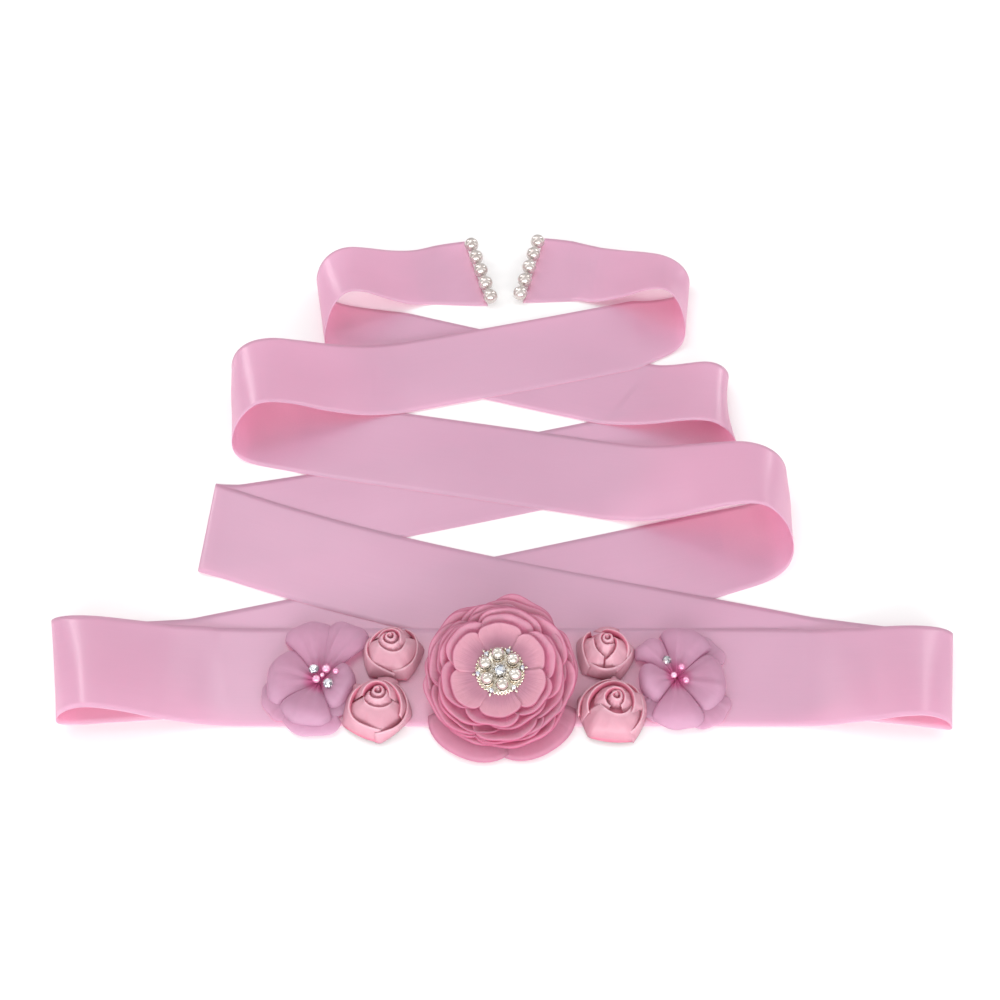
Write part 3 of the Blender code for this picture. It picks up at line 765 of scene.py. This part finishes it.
def petal_sheet(maker, row):
    """A round layer cut into petals that overlap a little, each domed, with an uneven curl at its rim."""
    chance = random.Random(row.seed)
    centre = layer_centre(row.height)
    half = math.pi / row.petals * PETAL_OVERLAP
    for k in range(row.petals):
        direction = math.radians(row.turn) + 2 * math.pi * k / row.petals
        reach = row.radius * chance.uniform(0.94, 1.04)
        phase = chance.uniform(0, 6.28)
        lift = row.curl * chance.uniform(0.6, 1.35)
        wave = chance.uniform(0.5, 1.0) * row.curl * 0.5
        ripple = chance.uniform(6, 10)
        rows, columns = 22, 26
        grid, uvs = blank_sheet(rows, columns)
        for j in range(columns):
            side = spread(-1, 1, j, columns)
            angle = direction + half * side
            outline = reach * (1 - row.notch * abs(side) ** 3.4 - row.notch * 0.25 * abs(side) ** 12)
            outline *= 1 + 0.016 * math.sin(5 * angle + phase) + 0.008 * math.sin(13 * angle + 2 * phase)
            for i in range(rows):
                share = spread(PETAL_ROOT, 1, i, rows)
                rim = smooth_step((share - 0.80) / 0.20)
                r = outline * (share - 0.035 * rim * rim * (lift / 1.8))
                x = centre[0] + r * math.cos(angle)
                y = centre[1] + r * math.sin(angle)
                z = row.height + FLOWER_TILT * (y - centre[1]) + BOWL_DEPTH * (r / BOWL_RADIUS) ** 2
                z += row.dome * (1 - side * side) * math.sin(math.pi * min(1.0, share * 0.9)) * share
                z += PETAL_BLADE * side * share
                z += lift * rim + wave * rim * math.sin(ripple * angle + phase)
                grid[i, j] = (x, y, z)
                uvs[i, j] = (share, (side + 1) / 2)
        maker.add_grid(grid, uvs)


def build_large_flower():
    # The lower layers' cloth carries the painted shade under the layer above
    cloth = petal_material("petal_cloth", PETAL_COLOURS, through=(1.00, 0.28, 0.54), share=0.42)
    top_cloth = petal_material("top_petal_cloth", TOP_PETAL_COLOURS, through=(0.98, 0.26, 0.46), share=0.3)
    for row in FLOWER_LAYERS:
        maker = MeshMaker()
        petal_sheet(maker, row)
        nodes = (row.node,) if row.node else ()
        finish = top_cloth if row is FLOWER_LAYERS[-1] else cloth
        piece = new_piece(row.name, maker.mesh(row.name), finish, "petal_cloth", *nodes)
        add_wall(piece, PETAL_WALL)
    backing = petal_material("backing_cloth", BACKING_COLOURS, through=(1.00, 0.36, 0.60), share=0.42)
    maker = MeshMaker()
    for k in range(BACKING_PETALS):
        direction = -117 + 360 / BACKING_PETALS * k
        # The petals that face the viewer reach further
        forwards = -math.sin(math.radians(direction))
        reach = BACKING_REACH * (0.70 + 0.30 * smooth_step((forwards - 0.2) / 0.4))
        petal_fan(maker, (0.0, FLOWER_Y), BACKING_HEIGHT, reach, direction, half=33, notch=0.12)
    piece = new_piece("backing_petals_cloth", maker.mesh("backing"), backing, "petal_cloth", "backing_petals")
    add_wall(piece, PETAL_WALL)


def petal_fan(maker, centre, height, reach, direction, half, notch):
    """One flat backing petal, half as many degrees to each side of its direction, with a notched rim."""
    rows, columns = 16, 18
    grid, uvs = blank_sheet(rows, columns)
    for j in range(columns):
        side = spread(-1, 1, j, columns)
        angle = math.radians(direction + half * side)
        outline = reach * (1 - notch * abs(side) ** 3)
        for i in range(rows):
            share = spread(PETAL_ROOT, 1, i, rows)
            r = outline * share
            x = centre[0] + r * math.cos(angle)
            y = centre[1] + r * math.sin(angle)
            z = height + 0.05 * (y - centre[1]) + 0.2 * side
            z += 0.8 * (1 - side * side) * share - 0.3 * share**2
            grid[i, j] = (x, y, z)
            uvs[i, j] = (share, (side + 1) / 2)
    maker.add_grid(grid, uvs)


# The brooch

BROOCH_TURN = math.radians(38)
BROOCH_LOBE_LOSS = 0.07
PLATE_RADIUS = 11.9
PLATE_WALL = 0.3
RIM_BEADS = 42
RIM_RADIUS = 12.1
RIM_HEIGHT = 0.7
# The pearls stand in a ring of cups; each cup's rows are (radius, height), and the upper ones are wavy
BROOCH_PEARLS = 6
PEARL_RING = 8.0
PEARL_RADIUS = 3.05
PEARL_HEIGHT = 4.6
CUP_FOOT = 1.2
CUP_ROWS = ((2.2, 0.0), (3.1, 0.5), (3.35, 1.3), (3.0, 1.5))
CUP_COLUMNS = 28
# Two beads of metal between two cups: (reach, radius)
TIP_BEADS = ((13.6, 0.42), (13.0, 0.6))
CHAIN_BEADS = 12
CHAIN_RING = 3.5


def brooch_matrix():
    top = FLOWER_LAYERS[-1].height + 0.3
    centre = layer_centre(20.0)
    return Matrix.Translation((centre[0], centre[1], top)) @ Matrix.Rotation(math.atan(FLOWER_TILT), 4, "X")


def cut_stone(maker, matrix, radius, height, sides):
    """A round brilliant's crown: a table, two rows of facets and a girdle."""
    rings = (
        (radius, 0.0, 0),
        (radius, height * 0.3, 0),
        (radius * 0.78, height * 0.72, 0.5),
        (radius * 0.5, height, 0),
    )
    points = []
    for size, z, turn in rings:
        for k in range(sides):
            angle = 2 * math.pi * (k + turn) / sides
            points.append(matrix @ Vector((size * math.cos(angle), size * math.sin(angle), z)))
    faces = [tuple(range(sides))[::-1], tuple(3 * sides + k for k in range(sides))]
    for row in range(3):
        for k in range(sides):
            after = (k + 1) % sides
            a, b = row * sides + k, row * sides + after
            c, d = (row + 1) * sides + after, (row + 1) * sides + k
            faces.append((a, b, d))
            faces.append((b, c, d))
    maker.add(points, faces)


def brooch_lobe(angle):
    lobe = abs(math.cos(3 * (angle - BROOCH_TURN)))
    return 1 - BROOCH_LOBE_LOSS * (1 - lobe**0.6)


def on_circle(reach, angle, z):
    return Vector((reach * math.cos(angle), reach * math.sin(angle), z))


def build_brooch():
    silver = metal_material("brooch_metal", (0.90, 0.84, 0.74), (0.55, 0.46, 0.35))
    ivory = pearl_material("brooch_pearl", (0.60, 0.54, 0.48), (0.76, 0.71, 0.66), 0.7)
    glass = stone_material("brooch_stone", (0.75, 0.82, 0.95))
    base = brooch_matrix()
    ring_angles = [BROOCH_TURN + 2 * math.pi * k / BROOCH_PEARLS for k in range(BROOCH_PEARLS)]

    plate = MeshMaker()
    rings, columns = 7, 144
    top, _ = blank_sheet(rings, columns)
    for i in range(rings):
        share = spread(0.02, 1, i, rings)
        for k in range(columns):
            angle = 2 * math.pi * k / columns
            height = 0.9 + 0.35 * math.cos(math.pi * 4 * share) - 0.7 * share**6
            top[i, k] = base @ on_circle(PLATE_RADIUS * brooch_lobe(angle) * share, angle, height)
    plate.add_grid(top, around=True)
    for k in range(RIM_BEADS):
        angle = 2 * math.pi * k / RIM_BEADS
        plate.add_ball(base @ on_circle(RIM_RADIUS * brooch_lobe(angle), angle, RIM_HEIGHT), 0.55, 8, 6)
    for angle in ring_angles:
        cup_centre = on_circle(PEARL_RING, angle, CUP_FOOT)
        cup, _ = blank_sheet(len(CUP_ROWS), CUP_COLUMNS)
        for i, (size, z) in enumerate(CUP_ROWS):
            for j in range(CUP_COLUMNS):
                turn = 2 * math.pi * j / CUP_COLUMNS
                wavy = z + (0.22 * math.cos(8 * turn) if i > 1 else 0)
                cup[i, j] = base @ (cup_centre + on_circle(size, turn, wavy))
        plate.add_grid(cup, around=True)
        for reach, radius in TIP_BEADS:
            plate.add_ball(base @ on_circle(reach, angle + math.radians(30), RIM_HEIGHT), radius, 8, 6)
    piece = new_piece("brooch_setting", plate.mesh("brooch_setting"), silver, "silver", "brooch_plate")
    add_wall(piece, PLATE_WALL)

    pearls = MeshMaker()
    for angle in ring_angles:
        pearls.add_ball(base @ on_circle(PEARL_RING, angle, PEARL_HEIGHT), PEARL_RADIUS, 40, 24)
    for k in range(CHAIN_BEADS):
        pearls.add_ball(base @ on_circle(CHAIN_RING, 2 * math.pi * k / CHAIN_BEADS, 3.1), 0.55, 10, 8)
    names = [f"brooch_pearl_{k + 1}" for k in range(BROOCH_PEARLS)]
    new_piece("brooch_pearls", pearls.mesh("brooch_pearls"), ivory, "pearl", *names)

    stones = MeshMaker()
    cut_stone(stones, base @ Matrix.Translation((0, 0, 2.2)), radius=3.0, height=2.6, sides=10)
    for angle in ring_angles:
        place = on_circle(11.0, angle + math.radians(30), 1.3)
        cut_stone(stones, base @ Matrix.Translation(place), radius=1.35, height=1.2, sides=8)
    piece = new_piece("brooch_stones", stones.mesh("brooch_stones"), glass, "cut_glass", "brooch_stone")
    piece.data.shade_flat()


# The rolled roses: each wrap is one turn of the folded ribbon, from its start angle on over its sweep

Wrap = namedtuple("Wrap", "start sweep near_radius far_radius near_top far_top foot bulge", defaults=(0.8,))
Rose = namedtuple("Rose", "name x y swirl_x swirl_y radius height turn wraps")
HEART = Wrap(0, 480, 0.7, 2.8, 1.00, 0.98, 1.0)
ROSES = (
    Rose("left_upper_rosette", -55.5, -149.5, -1.0, 6.5, 16.8, 13.0, -60, (
        HEART,
        Wrap(120, 250, 3.2, 4.4, 1.00, 0.95, 2.0),
        Wrap(-40, 200, 4.6, 6.4, 0.96, 0.88, 3.0),
        Wrap(175, 205, 5.4, 7.6, 0.95, 0.86, 12.0, 1.6),
        Wrap(35, 150, 7.4, 10.0, 0.82, 0.72, 6.0),
        Wrap(150, 130, 10.5, 12.6, 0.74, 0.60, 4.0),
        Wrap(-85, 150, 11.5, 13.2, 0.60, 0.50, 4.0),
    )),
    Rose("left_lower_rosette", -62.3, -181.3, 1.6, 7.3, 18.4, 12.5, -80, (
        HEART,
        Wrap(170, 210, 3.2, 4.2, 1.00, 0.97, 2.0),
        Wrap(-10, 190, 5.4, 6.0, 0.97, 0.94, 3.0),
        Wrap(190, 160, 5.2, 7.0, 0.92, 0.82, 13.0, 1.6),
        Wrap(-30, 120, 11.5, 7.6, 0.76, 0.86, 4.0),
        Wrap(128, 156, 9.5, 12.2, 0.82, 0.64, 4.0),
        Wrap(-88, 143, 13.0, 13.6, 0.56, 0.50, 3.0),
    )),
    Rose("right_upper_rosette", 54.0, -149.2, 0.8, 5.3, 16.2, 13.0, 150, (
        HEART,
        Wrap(90, 240, 3.0, 4.0, 1.00, 0.96, 2.0),
        Wrap(-95, 115, 8.6, 3.8, 0.84, 0.97, 5.0),
        Wrap(160, 100, 6.4, 7.4, 0.94, 0.86, 8.0, 1.4),
        Wrap(-30, 150, 11.5, 5.4, 0.72, 0.94, 4.0),
        Wrap(130, 100, 10.6, 12.4, 0.76, 0.60, 4.0),
        Wrap(220, 150, 11.2, 12.4, 0.66, 0.56, 5.0),
    )),
    Rose("right_lower_rosette", 55.8, -182.5, 1.8, 5.6, 18.8, 12.5, -60, (
        HEART,
        Wrap(-60, 300, 3.9, 4.4, 1.00, 0.97, 2.5),
        Wrap(-45, 245, 8.0, 10.4, 0.88, 0.76, 4.0),
        Wrap(195, 150, 5.8, 7.2, 0.90, 0.80, 12.0, 1.8),
        Wrap(-60, 130, 12.0, 12.8, 0.62, 0.56, 4.0),
        Wrap(60, 130, 12.0, 13.4, 0.60, 0.50, 4.0),
    )),
)
# The wraps' radii are for a rose of this radius
ROSE_SCALE_RADIUS = 15.3
ROSE_BASE = SOLID_FRONT_TOP + 0.3
ROSE_CORNERS = 5
ROSE_SOFTNESS = 0.6
ROSE_WALL = 0.3
# Across the fold at a wrap's top: (outwards, up)
FOLD_PROFILE = (
    (-1.3, -4.0), (-0.8, -2.0), (-0.45, -0.7), (-0.18, -0.12), (0.0, 0.0), (0.18, -0.10), (0.5, -0.5),
)
SLOPE_STEPS = 11
# Colours from the fold's hidden inner side, over the fold, to the foot of the slope: the deep pink of the
# inner side is painted shade, the pale band at 0.24, on the fold's crest, is a painted highlight, and the
# colour darkens towards the foot
ROSE_COLOURS = (
    (0.0, (0.78, 0.13, 0.29)),
    (0.14, (0.80, 0.31, 0.42)),
    (0.24, (0.82, 0.58, 0.66)),
    (0.42, (0.76, 0.45, 0.54)),
    (0.85, (0.70, 0.38, 0.47)),
    (1.0, (0.62, 0.30, 0.39)),
)
# The dome's place in those colours, deep in the painted shade, and the bud's
DOME_COLOUR = 0.10
BUD_COLOUR = 0.20


def rose_outline(row, angle):
    """A soft five-cornered outline."""
    side = 2 * math.pi / ROSE_CORNERS
    turned = (angle - math.radians(row.turn)) % side - side / 2
    return row.radius * (math.cos(side / 2) / math.cos(turned)) ** ROSE_SOFTNESS


def rose_wrap(maker, row, wrap):
    """One turn of the folded ribbon: an inner wall, a rounded fold on top and a slope that leans outwards."""
    scale = row.radius / ROSE_SCALE_RADIUS
    count = max(24, round(wrap.sweep / 5))
    columns = len(FOLD_PROFILE) + SLOPE_STEPS
    grid, uvs = blank_sheet(count, columns)
    for i in range(count):
        share = i / (count - 1)
        angle = math.radians(wrap.start + wrap.sweep * share)
        r = (wrap.near_radius + (wrap.far_radius - wrap.near_radius) * share) * scale
        fade = min(1.0, 5 * share, 5 * (1 - share))
        top = row.height * (wrap.near_top + (wrap.far_top - wrap.near_top) * share)
        top -= 1.6 * (1 - smooth_step(fade))
        # Flats and corners of the folded ribbon
        r *= 1 + 0.035 * math.cos(3 * angle + row.turn)
        slip = min(1.0, r / row.radius)
        middle_x = row.x + row.swirl_x * (1 - slip)
        middle_y = row.y + row.swirl_y * (1 - slip)
        points = [(r + out, top + up) for out, up in FOLD_PROFILE]
        last_r, last_z = points[-1]
        outline = rose_outline(row, angle)
        foot_r = min(outline, r + wrap.foot * scale + 1.5)
        foot_z = max(0.4, top - 5.5) if foot_r < outline - 0.3 else 0.3
        for k in range(1, SLOPE_STEPS + 1):
            t = k / SLOPE_STEPS
            out = last_r + (foot_r - last_r) * (1 - (1 - t) ** 1.35)
            pleat = 0.22 * math.sin(11 * angle + row.turn) * math.sin(math.pi * t)
            points.append((out, last_z + (foot_z - last_z) * t**wrap.bulge + pleat))
        for j, (reach, z) in enumerate(points):
            slip_out = min(1.0, reach / row.radius)
            x = middle_x + (row.x - middle_x) * max(0.0, slip_out - slip) + reach * math.cos(angle)
            y = middle_y + (row.y - middle_y) * max(0.0, slip_out - slip) + reach * math.sin(angle)
            grid[i, j] = (x, y, ROSE_BASE + z)
            # The first UV axis runs across the fold, so the painted shade lies on the inner wall and the
            # painted highlight on the crest
            uvs[i, j] = (j / (columns - 1), share)
    maker.add_grid(grid, uvs)


def rose_dome(maker, row, x, y, size, top, colour_place):
    """A low dome of cloth between the wraps, or the bud in their middle."""
    rows, columns = 12, 48
    grid, uvs = blank_sheet(rows, columns)
    for i in range(rows):
        share = spread(0.02, 0.96, i, rows)
        for k in range(columns):
            angle = 2 * math.pi * k / columns
            reach = rose_outline(row, angle) * share * size
            z = 0.4 + top * (1 - share**2.4)
            grid[i, k] = (x + reach * math.cos(angle), y + reach * math.sin(angle), ROSE_BASE + z)
            uvs[i, k] = (colour_place, share)
    maker.add_grid(grid, uvs, around=True)


def build_roses():
    cloth = petal_material(
        "rolled_satin",
        ROSE_COLOURS,
        through=(1.00, 0.42, 0.58),
        share=0.35,
        roughness=0.3,
        pleating=0.2,
    )
    for row in ROSES:
        maker = MeshMaker()
        rose_dome(maker, row, row.x, row.y, 0.97, row.height - 5.5, DOME_COLOUR)
        rose_dome(maker, row, row.x + row.swirl_x, row.y + row.swirl_y, 0.17, row.height - 1.0, BUD_COLOUR)
        for wrap in row.wraps:
            rose_wrap(maker, row, wrap)
        piece = new_piece(f"{row.name}_cloth", maker.mesh(row.name), cloth, "rolled_satin", row.name)
        add_wall(piece, ROSE_WALL)


# The chiffon flowers: petals between the angles of their creases, and flat layers under them

Petal = namedtuple("Petal", "start end reach puff folds")
CHIFFON_FLOWERS = {
    "left_chiffon_petal": (
        (-91.5, -165.0),
        (
            Petal(128, 214, 27, 8.5, 0.0),
            Petal(82, 130, 36, 8.0, 0.3),
            Petal(42, 88, 37, 7.5, 0.8),
            Petal(-70, 46, 18, 8.5, 0.6),
            Petal(212, 292, 25, 8.5, 0.0),
        ),
        (Petal(178, 232, 30, 2.0, 0.6), Petal(228, 300, 29.5, 2.0, 0.8), Petal(-85, -20, 22, 2.0, 0.6)),
    ),
    "right_chiffon_petal": (
        (89.5, -163.0),
        (
            Petal(-59, 41, 25, 8.5, 0.6),
            Petal(41, 104, 30, 8.0, 0.7),
            Petal(104, 150, 26, 8.0, 0.5),
            Petal(150, 235, 19, 10.5, 0.3),
            Petal(235, 301, 28, 8.5, 0.3),
        ),
        (Petal(-75, -20, 31, 2.0, 0.8), Petal(205, 250, 27, 2.0, 0.8), Petal(20, 70, 31, 2.0, 0.6)),
    ),
}
CHIFFON_FOOT = 0.4
CHIFFON_WALL = 0.2
# Colours from a petal's inner end to its rim; the deep magenta at the gathered inner ends is painted shade in
# the flower's hollow heart
CHIFFON_COLOURS = (
    (0.0, (0.72, 0.08, 0.33)),
    (0.06, (0.72, 0.19, 0.41)),
    (0.22, (0.68, 0.46, 0.60)),
    (0.96, (0.67, 0.50, 0.63)),
    (1.0, (0.62, 0.42, 0.56)),
)
CREASE_HEIGHT = 0.45


def chiffon_petal(maker, centre, row, seed):
    """A puffed petal, full in its middle and gathered at its inner end, between two sharp creases."""
    chance = random.Random(seed)
    rows, columns = 26, 34
    grid, uvs = blank_sheet(rows, columns)
    phase = chance.uniform(0, 6.28)
    ridge = chance.uniform(-0.35, 0.35)
    start = math.radians(row.start)
    sweep = math.radians(row.end - row.start)
    for i in range(rows):
        share = i / (rows - 1)
        along = 1.2 + (row.reach - 1.2) * math.sin(share * math.pi / 2)
        high = row.puff * (0.30 + 0.70 * math.sin(share * math.pi * 0.86)) * (1 - 0.82 * share**5)
        for j in range(columns):
            side = spread(-1, 1, j, columns)
            reach = along * (1 - 0.14 * share * abs(side) ** 4)
            reach *= 1 + 0.015 * share * math.sin(7 * side + phase)
            angle = start + sweep * (side + 1) / 2
            crease = CREASE_HEIGHT * (1 - share**3)
            z = CHIFFON_FOOT + high * (crease + (1 - crease) * max(0.0, math.cos(side * math.pi / 2)) ** 0.5)
            z += (1 - share) ** 2 * 0.45 * math.cos(9 * side + phase)
            leaning = side - ridge * share
            fold = math.exp(-(((leaning - 0.5) / 0.09) ** 2)) + math.exp(-(((leaning + 0.4) / 0.12) ** 2))
            z += row.folds * fold * math.sin(math.pi * share) * (1 - abs(side))
            x = centre[0] + reach * math.cos(angle)
            y = centre[1] + reach * math.sin(angle)
            grid[i, j] = (x, y, ROSE_BASE + z)
            uvs[i, j] = (share, (side + 1) / 2)
    maker.add_grid(grid, uvs)


def build_chiffon():
    cloth = petal_material(
        "chiffon",
        CHIFFON_COLOURS,
        through=(0.94, 0.56, 0.75),
        share=0.42,
        roughness=0.7,
        alpha=0.72,
    )
    for name, (centre, petals, under_layers) in CHIFFON_FLOWERS.items():
        for k, row in enumerate(petals):
            maker = MeshMaker()
            chiffon_petal(maker, centre, row, 40 + k)
            if k == 0:
                for n, under in enumerate(under_layers):
                    chiffon_petal(maker, centre, under, 60 + n)
            piece_name = f"{name}_{k + 1}"
            piece = new_piece(f"{piece_name}_cloth", maker.mesh(piece_name), cloth, "chiffon", piece_name)
            add_wall(piece, CHIFFON_WALL)


# In the plan: (x, y, radius)
STONE_BEADS = ((-94.2, -160.4, 2.7), (-86.3, -168.5, 2.8), (84.9, -155.2, 2.4))
PEARL_BEADS = (
    (-88.0, -160.4, 2.2), (-92.5, -166.2, 2.0), (-89.7, -163.9, 1.2), (-83.1, -161.6, 1.6),
    (91.9, -159.3, 1.7), (93.5, -166.8, 1.7), (87.7, -163.9, 1.6),
)


def build_beads():
    """Cut stones and small pearls in the hearts of the chiffon flowers."""
    glass = stone_material("bead_stone", (0.34, 0.34, 0.38))
    pink = pearl_material("bead_pearl", (0.80, 0.28, 0.50), (0.92, 0.50, 0.68), 0.3)
    stones = MeshMaker()
    for x, y, radius in STONE_BEADS:
        cut_stone(stones, Matrix.Translation((x, y, 11.2)), radius, height=2.2, sides=10)
    piece = new_piece("bead_stones", stones.mesh("bead_stones"), glass, "cut_glass")
    piece.data.shade_flat()
    pearls = MeshMaker()
    for x, y, radius in PEARL_BEADS:
        pearls.add_ball((x, y, 11.5), radius, 20, 12)
    new_piece("bead_pearls", pearls.mesh("bead_pearls"), pink, "pearl")


# The pearls along the cut ends


def build_end_pearls():
    coat = pearl_material("end_pearl", (0.52, 0.45, 0.42), (0.66, 0.60, 0.57), 0.6)
    for tail in ("left_tail", "right_tail"):
        pearls = MeshMaker(shift=np.zeros(3))
        names = []
        for k in range(5):
            name = f"{tail}_pearl_{k + 1}"
            low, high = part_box(name)
            centre = (np.array(low) + np.array(high)) / 2 / MM + PLAN_MIDDLE
            radius = (high[0] - low[0]) / 2 / MM
            pearls.add_ball(centre, radius, 40, 24)
            names.append(name)
        new_piece(f"{tail}_pearls", pearls.mesh(f"{tail}_pearls"), coat, "end_pearl", *names)


make_camera()
make_studio()
build_ribbon()
build_large_flower()
build_brooch()
build_roses()
build_chiffon()
build_beads()
build_end_pearls()
